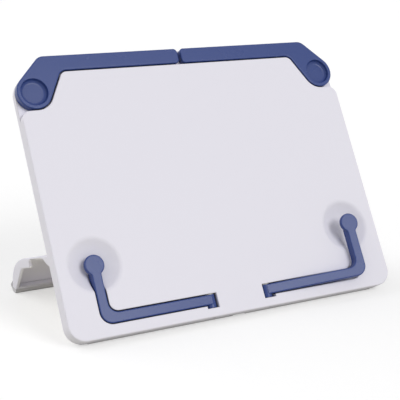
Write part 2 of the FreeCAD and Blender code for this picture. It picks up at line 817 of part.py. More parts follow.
def base_pads():
    """Grip pads on the flat seats of the panel's lower rear edge, in the finished frame."""
    rise = pad_height - pad_stand
    slope = math.tan(math.radians(panel_lean))
    half = pad_length / 2
    pad = block(-half, half, -rise / slope, rise * slope, 0.0, pad_height)
    pad = pad.makeFillet(pad_edge_round, edges_at_height(pad, 0.0))
    edge = set_down(Vector(0, 0, -panel_depth))
    return Part.makeCompound(both_sides(pad.translated(Vector(pad_station_x, edge.y, 0))))


# Setting the pieces down in the finished frame

def set_down(point):
    """Where a point of the flat drawing comes to lie, before the part is centred in depth."""
    turn = FreeCAD.Rotation(Vector(1, 0, 0), lean_turn)
    return turn.multVec(point) + Vector(0, 0, front_edge_height)


def hinge_place():
    """The leg's hinge axis in the finished frame, before the part is centred in depth."""
    return set_down(Vector(0, hinge_y, hinge_z))


def leaned(shape):
    """A panel piece leaned back and set on the floor."""
    turned = shape.rotated(Vector(0, 0, 0), Vector(1, 0, 0), lean_turn)
    return turned.translated(Vector(0, 0, front_edge_height))


def hinged(shape):
    """A leg piece turned to its slope and hung on the hinge axis."""
    turned = shape.rotated(Vector(0, 0, 0), Vector(1, 0, 0), -leg_slope())
    return turned.translated(hinge_place())


def panel_pieces():
    """All pieces drawn flat, by name."""
    pieces = {
        "front_panel": front_panel(),
        "back_cover": back_cover(),
        "back_cover_screws": back_cover_screws(),
        "leg_hinge_bolts": leg_hinge_bolts(),
        "leg_hinge_nuts": leg_hinge_nuts(),
        "leg_friction_washers": leg_friction_washers(),
    }
    spring_washer, washer, fastener = wing_fasteners()
    paired = {
        "wing": right_wing(),
        "wing_spring_washer": spring_washer,
        "wing_washer": washer,
        "wing_screw": fastener,
        "page_holder": right_page_holder(),
        "holder_pin": right_holder_pin(),
        "holder_washer": right_holder_washer(),
    }
    for name, shape in paired.items():
        turns_with_holder = name in ("page_holder", "holder_washer")
        pieces["right_" + name] = opened(shape, holder_ajar) if turns_with_holder else shape
        pieces["left_" + name] = mirrored(shape)
    return pieces


def stand_pieces():
    """All pieces in the finished frame, by name, centred in depth on the floor."""
    pieces = {}
    for name, shape in panel_pieces().items():
        pieces[name] = leaned(shape)
    pieces["base_pads"] = base_pads()
    pieces["rear_leg"] = hinged(rear_leg())
    below_floor = block(-panel_width, panel_width, -panel_height, panel_height, -panel_depth, 0.0)
    pieces["leg_foot_strip"] = hinged(leg_foot_strip()).cut(below_floor)
    shift = Vector(0, depth_shift(pieces), 0)
    return {name: shape.translated(shift) for name, shape in pieces.items()}


def depth_shift(pieces):
    """How far the part moves along y so that its middle stands over the origin."""
    box = Part.makeCompound(list(pieces.values())).optimalBoundingBox(False)
    return -(box.YMin + box.YMax) / 2


def main():
    os.makedirs("parts", exist_ok=True)
    for name, shape in stand_pieces().items():
        shape.exportStep("parts/" + name + ".step")


if __name__ == "__main__":
    main()
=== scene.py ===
"""Looks of a folding book stand: finishes, fasteners, studio and camera around its fixed frame."""

import json
import logging
import math
from collections.abc import Callable
from dataclasses import dataclass, field
from enum import Enum

import bmesh
import bpy
from mathutils import Matrix, Vector


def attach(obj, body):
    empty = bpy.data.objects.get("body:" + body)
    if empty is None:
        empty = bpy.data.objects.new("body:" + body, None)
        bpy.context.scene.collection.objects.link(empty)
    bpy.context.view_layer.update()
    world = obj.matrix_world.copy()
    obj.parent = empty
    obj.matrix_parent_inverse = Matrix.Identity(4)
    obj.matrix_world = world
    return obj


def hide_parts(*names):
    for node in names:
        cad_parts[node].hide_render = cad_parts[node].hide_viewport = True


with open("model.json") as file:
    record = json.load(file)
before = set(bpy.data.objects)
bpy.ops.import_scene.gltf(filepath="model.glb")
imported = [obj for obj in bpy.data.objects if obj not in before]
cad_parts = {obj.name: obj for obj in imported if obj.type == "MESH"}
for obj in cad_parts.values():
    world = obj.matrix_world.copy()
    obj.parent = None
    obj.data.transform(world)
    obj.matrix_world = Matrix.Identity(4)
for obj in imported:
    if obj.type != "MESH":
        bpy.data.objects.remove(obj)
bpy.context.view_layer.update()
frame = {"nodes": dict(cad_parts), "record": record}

LOG = logging.getLogger("book_stand")
MERGE = 1e-6
SORT_DIGITS = 4
SHARP_ANGLE = math.radians(32.0)
FLAT_ENOUGH = 0.99
ACROSS = Vector((1.0, 0.0, 0.0))
WHITE = (1.0, 1.0, 1.0, 1.0)

# Places of the colour sockets on Blender's Mix node, which repeats their names for each kind of data.
MIX_SHARE = 0
MIX_FIRST = 6
MIX_SECOND = 7
MIX_RESULT = 2

# A screw's top starts as a grid from -1 to 1, whose lines then move to the edges of the cross.
CROSS_CELLS = 5
CROSS_PITCH = 2.0 / CROSS_CELLS
HEX_SIDES = 6

Colour = tuple[float, float, float]
Place = tuple[float, float, float]
Sockets = bpy.types.bpy_prop_collection


class Side(Enum):
    """The stand's two mirrored halves, as the reader sees them."""

    LEFT = "left"
    RIGHT = "right"

    def node(self, piece: str) -> str:
        """Name of this side's CAD node for a paired piece."""
        return f"{self.value}_{piece}"


class Effect(Enum):
    """Surface effects that several finishes share, each a shader node group."""

    GRAIN = "moulded_grain"
    DRIFT = "tone_drift"
    EDGES = "softened_edges"
    CREASES = "crease_shade"


class Kind(Enum):
    """What a node group's socket carries."""

    NUMBER = "NodeSocketFloat"
    COLOUR = "NodeSocketColor"
    VECTOR = "NodeSocketVector"


class Graph:
    """A node tree with short calls for adding, setting and linking nodes."""

    def __init__(self, tree: bpy.types.NodeTree) -> None:
        """Keep the tree that the calls work on."""
        self.tree = tree

    def add(
        self, kind: str, values: dict[str, object] | None = None, **settings: object
    ) -> bpy.types.Node:
        """Add a node.

        Args:
            kind: Blender's class name of the node.
            values: Input sockets' names and their constant values.
            settings: The node's own properties and their values.

        Returns:
            The new node.
        """
        node = self.tree.nodes.new(kind)
        for name, value in settings.items():
            setattr(node, name, value)
        for name, value in (values or {}).items():
            node.inputs[name].default_value = value
        return node

    def link(self, source: bpy.types.NodeSocket, target: bpy.types.NodeSocket) -> None:
        """Join an output socket to an input socket."""
        self.tree.links.new(source, target)

    def maths(self, operation: str, first: object, second: object) -> bpy.types.NodeSocket:
        """Combine two sockets or numbers.

        Args:
            operation: Blender's name of the operation.
            first: A socket or a number.
            second: A socket or a number.

        Returns:
            The result's socket.
        """
        node = self.add("ShaderNodeMath", operation=operation)
        for socket, value in zip(node.inputs, (first, second)):
            if isinstance(value, bpy.types.NodeSocket):
                self.link(value, socket)
            else:
                socket.default_value = value
        return node.outputs[0]

    def blend(
        self, share: bpy.types.NodeSocket, first: object, second: object
    ) -> bpy.types.NodeSocket:
        """Mix two colours.

        Args:
            share: How much of the second colour, from 0 to 1.
            first: A socket or a colour.
            second: A socket or a colour.

        Returns:
            The mixed colour's socket.
        """
        node = self.add("ShaderNodeMix", data_type="RGBA")
        self.link(share, node.inputs[MIX_SHARE])
        for place, value in ((MIX_FIRST, first), (MIX_SECOND, second)):
            if isinstance(value, bpy.types.NodeSocket):
                self.link(value, node.inputs[place])
            else:
                node.inputs[place].default_value = (*value, 1.0)
        return node.outputs[MIX_RESULT]


@dataclass
class EffectGroups:
    """Builds each shared surface effect once and places it in materials."""

    pebble_share: float = 0.5
    noise_middle: float = 0.5
    crease_power: float = 2.0
    ray_samples: int = 6
    built: dict[Effect, bpy.types.NodeTree] = field(default_factory=dict)

    def make(self, effect: Effect) -> bpy.types.NodeTree:
        """Build the group of an effect.

        Args:
            effect: Which effect.

        Returns:
            The new group.
        """
        makers: dict[Effect, Callable[[], bpy.types.NodeTree]] = {
            Effect.GRAIN: self.grain,
            Effect.DRIFT: self.drift,
            Effect.EDGES: self.edges,
            Effect.CREASES: self.creases,
        }
        return makers[effect]()

    def place(self, graph: Graph, effect: Effect, values: dict[str, object]) -> bpy.types.Node:
        """Put an effect in a material.

        Args:
            graph: The material's graph.
            effect: Which effect.
            values: The group's inputs and their values for this material.

        Returns:
            The group node.
        """
        if effect not in self.built:
            self.built[effect] = self.make(effect)
        node = graph.add("ShaderNodeGroup", node_tree=self.built[effect])
        for name, value in values.items():
            node.inputs[name].default_value = value
        return node

    def start(
        self, effect: Effect, inputs: dict[str, Kind], outputs: dict[str, Kind]
    ) -> tuple[Graph, Sockets, Sockets]:
        """Make an empty group with named sockets.

        Args:
            effect: The effect that the group makes.
            inputs: Socket names and what they carry.
            outputs: Socket names and what they carry.

        Returns:
            The group's graph, the values given to it and the results it makes.
        """
        tree = bpy.data.node_groups.new(effect.value, "ShaderNodeTree")
        for name, kind in inputs.items():
            tree.interface.new_socket(name, in_out="INPUT", socket_type=kind.value)
        for name, kind in outputs.items():
            tree.interface.new_socket(name, in_out="OUTPUT", socket_type=kind.value)
        graph = Graph(tree)
        entry = graph.add("NodeGroupInput")
        leave = graph.add("NodeGroupOutput")
        return graph, entry.outputs, leave.inputs

    def grain(self) -> bpy.types.NodeTree:
        """Fine pebbled texture that a spark-eroded mould leaves.

        Returns:
            The group.
        """
        graph, given, made = self.start(
            Effect.GRAIN, {"Scale": Kind.NUMBER}, {"Height": Kind.NUMBER})
        place = graph.add("ShaderNodeTexCoord").outputs["Object"]
        fine = graph.add("ShaderNodeTexNoise", {"Detail": 2.0, "Roughness": 0.6})
        pebbles = graph.add("ShaderNodeTexVoronoi", {"Randomness": 1.0}, feature="SMOOTH_F1")
        for node in (fine, pebbles):
            graph.link(place, node.inputs["Vector"])
            graph.link(given["Scale"], node.inputs["Scale"])
        low_pebbles = graph.maths("MULTIPLY", pebbles.outputs["Distance"], self.pebble_share)
        graph.link(graph.maths("ADD", fine.outputs["Fac"], low_pebbles), made["Height"])
        return graph.tree

    def drift(self) -> bpy.types.NodeTree:
        """Slow unevenness of tone and gloss across a moulding.

        Returns:
            The group.
        """
        graph, given, made = self.start(
            Effect.DRIFT,
            {"Color": Kind.COLOUR, "Scale": Kind.NUMBER, "Tone": Kind.NUMBER,
             "Gloss": Kind.NUMBER, "Roughness": Kind.NUMBER},
            {"Color": Kind.COLOUR, "Roughness": Kind.NUMBER})
        place = graph.add("ShaderNodeTexCoord").outputs["Object"]
        cloud = graph.add("ShaderNodeTexNoise", {"Detail": 4.0, "Roughness": 0.55})
        graph.link(place, cloud.inputs["Vector"])
        graph.link(given["Scale"], cloud.inputs["Scale"])
        swing = graph.maths("SUBTRACT", cloud.outputs["Fac"], self.noise_middle)
        tone = graph.maths("MULTIPLY", swing, given["Tone"])
        shade = graph.add("ShaderNodeHueSaturation")
        graph.link(graph.maths("ADD", tone, 1.0), shade.inputs["Value"])
        graph.link(given["Color"], shade.inputs["Color"])
        graph.link(shade.outputs["Color"], made["Color"])
        gloss = graph.maths("MULTIPLY", swing, given["Gloss"])
        graph.link(graph.maths("ADD", gloss, given["Roughness"]), made["Roughness"])
        return graph.tree

    def edges(self) -> bpy.types.NodeTree:
        """Rounding of moulded edges, and a mask along them where a lighter colour paints an edge highlight
        and rubbing.

        Returns:
            The group.
        """
        graph, given, made = self.start(
            Effect.EDGES,
            {"Radius": Kind.NUMBER, "Gain": Kind.NUMBER},
            {"Normal": Kind.VECTOR, "Rub and highlight": Kind.NUMBER})
        rounded = graph.add("ShaderNodeBevel", samples=self.ray_samples)
        graph.link(given["Radius"], rounded.inputs["Radius"])
        flat = graph.add("ShaderNodeNewGeometry")
        agree = graph.add("ShaderNodeVectorMath", operation="DOT_PRODUCT")
        graph.link(rounded.outputs["Normal"], agree.inputs[0])
        graph.link(flat.outputs["Normal"], agree.inputs[1])
        bend = graph.maths("SUBTRACT", 1.0, agree.outputs["Value"])
        gained = graph.maths("MULTIPLY", bend, given["Gain"])
        graph.link(graph.maths("MINIMUM", gained, 1.0), made["Rub and highlight"])
        graph.link(rounded.outputs["Normal"], made["Normal"])
        return graph.tree

    def creases(self) -> bpy.types.NodeTree:
        """Painted shade in the corners and the seams between pieces, where a pale grey also stands for a
        little dust.

        Returns:
            The group.
        """
        graph, given, made = self.start(
            Effect.CREASES,
            {"Color": Kind.COLOUR, "Shade": Kind.COLOUR, "Reach": Kind.NUMBER,
             "Amount": Kind.NUMBER},
            {"Color": Kind.COLOUR})
        shelter = graph.add("ShaderNodeAmbientOcclusion", samples=self.ray_samples)
        graph.link(given["Reach"], shelter.inputs["Distance"])
        closed = graph.maths("SUBTRACT", 1.0, shelter.outputs["AO"])
        deep = graph.maths("POWER", closed, self.crease_power)
        share = graph.maths("MULTIPLY", deep, given["Amount"])
        graph.link(graph.blend(share, given["Color"], given["Shade"]), made["Color"])
        return graph.tree


@dataclass(frozen=True)
class Finish:
    """A material of the stand, with what its surface shows from close up; lengths in metres."""

    name: str
    colour: Colour
    roughness: float
    grain_scale: float
    grain_depth: float
    edge_radius: float
    grain_strength: float = 0.5
    drift_scale: float = 14.0
    tone_swing: float = 0.03
    gloss_swing: float = 0.10
    metallic: float = 0.0
    specular: float = 0.5
    # A lighter colour painted along the edges, for an edge highlight and rubbing.
    rub_and_highlight_colour: Colour = (0.85, 0.85, 0.86)
    rub_and_highlight_share: float = 0.0
    edge_mask_gain: float = 3.0
    # Painted shade in corners and seams; the default pale grey also stands for a little dust.
    crease_colour: Colour = (0.35, 0.34, 0.33)
    crease_share: float = 0.25
    crease_reach: float = 0.002

    def material(self, effects: EffectGroups) -> bpy.types.Material:
        """Build the finish's material.

        Args:
            effects: The shared surface effects.

        Returns:
            The material.
        """
        made = bpy.data.materials.new(self.name)
        made.use_nodes = True
        made.node_tree.nodes.clear()
        graph = Graph(made.node_tree)
        surface = graph.add("ShaderNodeBsdfPrincipled", {
            "Metallic": self.metallic,
            "Specular IOR Level": self.specular,
        })
        out = graph.add("ShaderNodeOutputMaterial")
        graph.link(surface.outputs["BSDF"], out.inputs["Surface"])
        drift = effects.place(graph, Effect.DRIFT, {
            "Color": (*self.colour, 1.0),
            "Scale": self.drift_scale,
            "Tone": self.tone_swing,
            "Gloss": self.gloss_swing,
            "Roughness": self.roughness,
        })
        edges = effects.place(graph, Effect.EDGES, {"Radius": self.edge_radius, "Gain": self.edge_mask_gain})
        # Painted shade darkens the corners and seams, near-black on the mouldings.
        creases = effects.place(graph, Effect.CREASES, {
            "Shade": (*self.crease_colour, 1.0),
            "Reach": self.crease_reach,
            "Amount": self.crease_share,
        })
        grain = effects.place(graph, Effect.GRAIN, {"Scale": self.grain_scale})
        # Lighter colour along the edges: a painted edge highlight and rubbing.
        rub_and_highlight_mask = graph.maths("MULTIPLY", edges.outputs["Rub and highlight"], self.rub_and_highlight_share)
        rubbed_and_highlighted = graph.blend(rub_and_highlight_mask, drift.outputs["Color"], self.rub_and_highlight_colour)
        graph.link(rubbed_and_highlighted, creases.inputs["Color"])
        graph.link(creases.outputs["Color"], surface.inputs["Base Color"])
        graph.link(drift.outputs["Roughness"], surface.inputs["Roughness"])
        bump = graph.add("ShaderNodeBump", {
            "Strength": self.grain_strength,
            "Distance": self.grain_depth,
        })
        graph.link(grain.outputs["Height"], bump.inputs["Height"])
        graph.link(edges.outputs["Normal"], bump.inputs["Normal"])
        graph.link(bump.outputs["Normal"], surface.inputs["Normal"])
        return made


WHITE_MOULDING = Finish(
    name="white_moulding",
    colour=(0.79, 0.775, 0.858),
    roughness=0.50,
    grain_scale=2600.0,
    grain_depth=0.00003,
    edge_radius=0.0012,
    tone_swing=0.012,
    specular=0.3,
    # Near-black painted shade in the seams, gaps and corners, standing for their deep shadow.
    crease_colour=(0.02, 0.02, 0.026),
    crease_share=0.95,
)
BLUE_MOULDING = Finish(
    name="blue_moulding",
    colour=(0.032, 0.060, 0.222),
    roughness=0.27,
    grain_scale=2300.0,
    grain_depth=0.00003,
    edge_radius=0.0004,
    tone_swing=0.05,
    specular=0.30,
    # Lighter blue along the edges: a painted edge highlight and rubbing.
    rub_and_highlight_colour=(0.20, 0.25, 0.42),
    rub_and_highlight_share=0.5,
    # Near-black painted shade in the seams, gaps and corners, standing for their shadow.
    crease_colour=(0.003, 0.004, 0.012),
    crease_share=0.8,
)
PLATED_STEEL = Finish(
    name="plated_steel",
    colour=(0.60, 0.61, 0.63),
    roughness=0.30,
    grain_scale=4200.0,
    grain_depth=0.00001,
    edge_radius=0.0002,
    drift_scale=320.0,
    tone_swing=0.18,
    gloss_swing=0.25,
    metallic=1.0,
    # Lighter steel along the edges: a painted edge highlight and rubbing.
    rub_and_highlight_share=0.3,
)
WAXY_WASHER = Finish(
    name="waxy_washer",
    colour=(0.66, 0.63, 0.55),
    roughness=0.38,
    grain_scale=1500.0,
    grain_depth=0.00001,
    edge_radius=0.0002,
)
PALE_GRIP = Finish(
    name="pale_grip",
    colour=(0.60, 0.59, 0.62),
    roughness=0.68,
    grain_scale=1700.0,
    grain_depth=0.00006,
    edge_radius=0.0005,
    specular=0.35,
)


class Wardrobe:
    """The stand's materials, each built once, and the dressing of CAD nodes with them."""

    def __init__(self) -> None:
        """Start with no material built."""
        self.effects = EffectGroups()
        self.built: dict[str, bpy.types.Material] = {}

    def material(self, finish: Finish) -> bpy.types.Material:
        """Build a finish's material at its first use.

        Args:
            finish: The finish.

        Returns:
            Its material.
        """
        if finish.name not in self.built:
            self.built[finish.name] = finish.material(self.effects)
        return self.built[finish.name]

    def dress(self, finish: Finish, *nodes: str) -> None:
        """Give CAD nodes a finish.

        Args:
            finish: The finish.
            nodes: Names of the nodes.
        """
        for node in nodes:
            piece = frame["nodes"][node]
            piece.data.materials.clear()
            piece.data.materials.append(self.material(finish))
            LOG.info("%s wears %s", node, finish.name)


def mount_axis(name: str) -> Vector:
    """Axis of one of the record's mounts."""
    mounts = frame["record"]["mounts"]
    return Vector(next(mount["axis"] for mount in mounts if mount["name"] == name))


def joint_place(name: str) -> Vector:
    """Place of one of the record's joints."""
    joints = frame["record"]["behaviour"]["joints"]
    return Vector(next(joint["pos_m"] for joint in joints if joint["name"] == name))


def solids_of(node: str) -> list[list[Vector]]:
    """Corner points of each separate solid of a CAD node.

    Args:
        node: Name of the node.

    Returns:
        One list of points per solid, in order from left to right and from low to high.
    """
    shape = bmesh.new()
    shape.from_mesh(frame["nodes"][node].data)
    bmesh.ops.remove_doubles(shape, verts=shape.verts, dist=MERGE)
    seen: set[bmesh.types.BMVert] = set()
    solids = []
    for first in shape.verts:
        if first in seen:
            continue
        seen.add(first)
        waiting = [first]
        points = []
        while waiting:
            vert = waiting.pop()
            points.append(vert.co.copy())
            neighbours = [edge.other_vert(vert) for edge in vert.link_edges]
            fresh = [other for other in neighbours if other not in seen]
            seen.update(fresh)
            waiting.extend(fresh)
        solids.append(points)
    shape.free()
    solids.sort(key=lambda points: (round(points[0].x, SORT_DIGITS), round(points[0].z, SORT_DIGITS)))
    return solids


def piece_from(
    shape: bmesh.types.BMesh, name: str, material: bpy.types.Material
) -> bpy.types.Object:
    """Turn a bmesh into a finished piece with its place in its mesh.

    Args:
        shape: The geometry, which is freed.
        name: The piece's name.
        material: Its material.

    Returns:
        The new object.
    """
    bmesh.ops.recalc_face_normals(shape, faces=shape.faces)
    for face in shape.faces:
        face.smooth = True
    mesh = bpy.data.meshes.new(name)
    shape.to_mesh(mesh)
    shape.free()
    mesh.set_sharp_from_angle(angle=SHARP_ANGLE)
    mesh.materials.append(material)
    piece = bpy.data.objects.new(name, mesh)
    bpy.context.scene.collection.objects.link(piece)
    return piece


def hand_over(piece: bpy.types.Object, body: str, node: str) -> None:
    """Let a new piece stand for a CAD node.

    Args:
        piece: The new piece.
        body: The CAD body that it rides on.
        node: The CAD node that it replaces.
    """
    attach(piece, body)
    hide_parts(node)
    LOG.info("%s stands for %s on %s", piece.name, node, body)


@dataclass(frozen=True)
class Seat:
    """Where a turned fastener sits: its axis, its outer end and its length."""

    matrix: Matrix
    length: float

    @classmethod
    def of(cls, points: list[Vector], out: Vector) -> "Seat":
        """Read the seat off a CAD solid.

        Args:
            points: The solid's corner points.
            out: The direction in which the fastener's head faces.

        Returns:
            The seat, with the head's outer face at its origin and z pointing out.
        """
        turn = out.to_track_quat("Z", "Y").to_matrix()
        local = [turn.transposed() @ point for point in points]
        low = Vector([min(point[axis] for point in local) for axis in range(3)])
        high = Vector([max(point[axis] for point in local) for axis in range(3)])
        middle = (low + high) / 2
        middle.z = high.z
        matrix = Matrix.Translation(turn @ middle) @ turn.to_4x4()
        return cls(matrix, high.z - low.z)

    def take(self, one: bmesh.types.BMesh, shape: bmesh.types.BMesh) -> None:
        """Put a modelled fastener in this seat, beside those already seated.

        Args:
            one: The fastener, drawn at the origin, which is freed.
            shape: The geometry that it joins.
        """
        bmesh.ops.transform(one, matrix=self.matrix, verts=one.verts)
        bmesh.ops.recalc_face_normals(one, faces=one.faces)
        mesh = bpy.data.meshes.new("fastener_draft")
        one.to_mesh(mesh)
        one.free()
        shape.from_mesh(mesh)
        bpy.data.meshes.remove(mesh)


@dataclass(frozen=True)
class CrossScrew:
    """A pan-headed screw with a cross recess, its head's top at the origin and z out of it.

    The first three sizes are in metres. The recess is in shares of the head's flat top and of its height, the
    shoulder and the side are in shares of the head, and the tip is in shares of the shank's radius.
    """

    head_radius: float
    head_height: float
    shank_radius: float
    top_share: float = 0.72
    recess_reach: float = 0.55
    recess_half_width: float = 0.15
    recess_depth: float = 0.55
    recess_taper: float = 0.35
    shoulder_radius: float = 0.90
    shoulder_drop: float = 0.16
    side_drop: float = 0.45
    tip_radius: float = 0.7
    tip_length: float = 0.3

    def add_to(self, shape: bmesh.types.BMesh, seat: Seat) -> None:
        """Model one screw and put it in its seat.

        Args:
            shape: The geometry that the screw joins.
            seat: Its place and its whole length.
        """
        one = bmesh.new()
        self.model_head_top(one)
        self.model_sides(one, seat.length)
        seat.take(one, shape)

    def model_head_top(self, one: bmesh.types.BMesh) -> None:
        """Draw the round top of the head with the cross sunk into it.

        Args:
            one: The screw's geometry, still empty.
        """
        bmesh.ops.create_grid(one, x_segments=CROSS_CELLS, y_segments=CROSS_CELLS, size=1.0)
        top_radius = self.top_share * self.head_radius
        lines = (self.recess_half_width, self.recess_reach, 1.0)
        for vert in one.verts:
            for axis in range(2):
                step = min(round(abs(vert.co[axis]) / CROSS_PITCH - 0.5), len(lines) - 1)
                vert.co[axis] = math.copysign(lines[step] * top_radius, vert.co[axis])
        rim = [edge for edge in one.edges if edge.is_boundary]
        bmesh.ops.subdivide_edges(one, edges=rim, cuts=1)
        for vert in one.verts:
            if vert.is_boundary:
                vert.co = vert.co.normalized() * top_radius
        reach = self.recess_reach * top_radius
        half_width = self.recess_half_width * top_radius
        cross = []
        for face in one.faces:
            middle = face.calc_center_median()
            inside = max(abs(middle.x), abs(middle.y)) < reach
            if inside and min(abs(middle.x), abs(middle.y)) < half_width:
                cross.append(face)
        taper = half_width * self.recess_taper
        depth = self.recess_depth * self.head_height
        bmesh.ops.inset_region(one, faces=cross, thickness=taper, depth=-depth)

    def model_sides(self, one: bmesh.types.BMesh, length: float) -> None:
        """Draw the rounded side of the head, its seat and the shank below it.

        Args:
            one: The screw's geometry, with the head's top drawn.
            length: The screw's whole length.
        """
        rings = (
            (self.shoulder_radius * self.head_radius, -self.shoulder_drop * self.head_height),
            (self.head_radius, -self.side_drop * self.head_height),
            (self.head_radius, -self.head_height),
            (self.shank_radius, -self.head_height),
            (self.shank_radius, -length + self.tip_length * self.shank_radius),
            (self.tip_radius * self.shank_radius, -length),
        )
        rim = [edge for edge in one.edges if edge.is_boundary]
        for radius, height in rings:
            grown = bmesh.ops.extrude_edge_only(one, edges=rim)["geom"]
            rim = [part for part in grown if isinstance(part, bmesh.types.BMEdge)]
            for vert in {vert for edge in rim for vert in edge.verts}:
                spoke = Vector((vert.co.x, vert.co.y, 0.0)).normalized()
                vert.co = spoke * radius + Vector((0.0, 0.0, height))
        bmesh.ops.contextual_create(one, geom=rim)


@dataclass(frozen=True)
class HexNut:
    """A hexagon nut with chamfered corners, its outer face at the origin and z out of it.

    The first three sizes are in metres, chamfer_start is a share of across_flats and the angle is in degrees.
    """

    across_flats: float
    height: float
    hole_radius: float
    chamfer_start: float = 0.49
    chamfer_angle: float = 30.0
    hole_segments: int = 24

    def add_to(self, shape: bmesh.types.BMesh, seat: Seat) -> None:
        """Model one nut and put it in its seat.

        Args:
            shape: The geometry that the nut joins.
            seat: Its place.
        """
        one = bmesh.new()
        corner = self.across_flats / 2 / math.cos(math.pi / HEX_SIDES)
        bmesh.ops.create_cone(
            one, cap_ends=True, segments=HEX_SIDES, radius1=corner, radius2=corner, depth=self.height)
        bmesh.ops.translate(one, verts=one.verts, vec=(0.0, 0.0, -self.height / 2))
        for vert in list(one.verts):
            spoke = Vector((vert.co.x, vert.co.y, 0.0)).normalized()
            way = 1.0 if vert.co.z > -self.height / 2 else -1.0
            self.chamfer(one, spoke, way)
        self.drill(one)
        seat.take(one, shape)

    def chamfer(self, one: bmesh.types.BMesh, spoke: Vector, way: float) -> None:
        """Cut one corner of one end.

        Args:
            one: The nut's geometry.
            spoke: Direction from the axis to the corner.
            way: 1 for the outer end, -1 for the inner end.
        """
        tilt = math.radians(self.chamfer_angle)
        normal = spoke * math.sin(tilt) + Vector((0.0, 0.0, way * math.cos(tilt)))
        end = 0.0 if way > 0 else -self.height
        touch = spoke * (self.chamfer_start * self.across_flats) + Vector((0.0, 0.0, end))
        geom = list(one.verts) + list(one.edges) + list(one.faces)
        cut = bmesh.ops.bisect_plane(
            one, geom=geom, dist=MERGE, plane_co=touch, plane_no=normal, clear_outer=True)
        edges = [part for part in cut["geom_cut"] if isinstance(part, bmesh.types.BMEdge)]
        bmesh.ops.holes_fill(one, edges=edges, sides=0)

    def drill(self, one: bmesh.types.BMesh) -> None:
        """Open the threaded hole from end to end.

        Args:
            one: The nut's geometry, with its corners cut.
        """
        ends = [face for face in one.faces if abs(face.normal.z) > FLAT_ENOUGH]
        loops = {face.calc_center_median().z: list(face.edges) for face in ends}
        bmesh.ops.delete(one, geom=ends, context="FACES_ONLY")
        rims = []
        for height, outline in loops.items():
            made = bmesh.ops.create_circle(one, segments=self.hole_segments, radius=self.hole_radius)
            bmesh.ops.translate(one, verts=made["verts"], vec=(0.0, 0.0, height))
            rim = list({edge for vert in made["verts"] for edge in vert.link_edges})
            bmesh.ops.bridge_loops(one, edges=outline + rim)
            rims += rim
        bmesh.ops.bridge_loops(one, edges=rims)


@dataclass
class Panel:
    """The leaning panel: moulded shell, back cover with its screws, grip pads and the holders' pins."""

    wardrobe: Wardrobe
    screw: CrossScrew = CrossScrew(head_radius=0.0028, head_height=0.0014, shank_radius=0.00145)

    def dress(self) -> None:
        """Give the shell, the cover, the pads and the pins their finishes."""
        self.wardrobe.dress(WHITE_MOULDING, "front_panel", "back_cover")
        self.wardrobe.dress(PALE_GRIP, "base_pads")
        self.wardrobe.dress(PLATED_STEEL, "left_holder_pin", "right_holder_pin")

    def build(self) -> None:
        """Model the cover's screws in place of their plain solids."""
        back_out = -mount_axis("panel_face")
        shape = bmesh.new()
        for points in solids_of("back_cover_screws"):
            self.screw.add_to(shape, Seat.of(points, back_out))
        screws = piece_from(shape, "cover_cross_screws", self.wardrobe.material(PLATED_STEEL))
        hand_over(screws, "panel", "back_cover_screws")


@dataclass
class RearLeg:
    """The folding leg with its hinge fasteners and its foot strip."""

    wardrobe: Wardrobe
    bolt: CrossScrew = CrossScrew(head_radius=0.0036, head_height=0.0024, shank_radius=0.0020)
    nut: HexNut = HexNut(across_flats=0.0070, height=0.0032, hole_radius=0.0020)

    def dress(self) -> None:
        """Give the leg, its strip and its washers their finishes."""
        self.wardrobe.dress(WHITE_MOULDING, "rear_leg")
        self.wardrobe.dress(PALE_GRIP, "leg_foot_strip")
        self.wardrobe.dress(WAXY_WASHER, "leg_friction_washers")

    def build(self) -> None:
        """Model the hinge bolts and nuts in place of their plain solids."""
        steel = self.wardrobe.material(PLATED_STEEL)
        for part, node, way in ((self.bolt, "leg_hinge_bolts", 1.0), (self.nut, "leg_hinge_nuts", -1.0)):
            shape = bmesh.new()
            for points in solids_of(node):
                outboard = math.copysign(1.0, points[0].x)
                part.add_to(shape, Seat.of(points, ACROSS * (way * outboard)))
            piece = piece_from(shape, node + "_detailed", steel)
            hand_over(piece, "panel", node)


@dataclass
class Wings:
    """The two swing-out supports in the top corners, with what holds them behind."""

    wardrobe: Wardrobe

    def dress(self) -> None:
        """Give both wings and their fasteners their finishes."""
        for side in Side:
            self.wardrobe.dress(BLUE_MOULDING, side.node("wing"))
            hidden = ("wing_washer", "wing_spring_washer", "wing_screw")
            self.wardrobe.dress(PLATED_STEEL, *(side.node(piece) for piece in hidden))


@dataclass
class PageHolders:
    """The two hinged arms in the lower slots."""

    wardrobe: Wardrobe

    def dress(self) -> None:
        """Give both arms and their friction washers their finishes."""
        for side in Side:
            self.wardrobe.dress(BLUE_MOULDING, side.node("page_holder"))
            self.wardrobe.dress(WAXY_WASHER, side.node("holder_washer"))


@dataclass(frozen=True)
class SoftLamp:
    """A broad white lamp, far enough away to light the stand and the floor evenly; angle in degrees."""

    name: str
    direction: Place
    strength: float
    angle: float

    def build(self) -> None:
        """Hang the lamp in its direction from the stand."""
        lamp = bpy.data.lights.new(self.name, "SUN")
        lamp.energy = self.strength
        lamp.angle = math.radians(self.angle)
        holder = bpy.data.objects.new(self.name, lamp)
        holder.rotation_euler = Vector(self.direction).to_track_quat("Z", "Y").to_euler()
        bpy.context.scene.collection.objects.link(holder)
        LOG.info("%s is lit", self.name)


@dataclass(frozen=True)
class ReflectorCard:
    """A pale card on the floor, out of the camera's sight, that throws light up under the leg."""

    name: str
    place: Place
    size: tuple[float, float]
    power: float
    colour: Colour

    def build(self) -> None:
        """Lay the card face up."""
        lamp = bpy.data.lights.new(self.name, "AREA")
        lamp.shape = "RECTANGLE"
        lamp.size, lamp.size_y = self.size
        lamp.energy = self.power
        lamp.color = self.colour
        holder = bpy.data.objects.new(self.name, lamp)
        holder.location = self.place
        holder.rotation_euler = (math.pi, 0.0, 0.0)
        holder.visible_camera = False
        bpy.context.scene.collection.objects.link(holder)
        LOG.info("%s is laid", self.name)


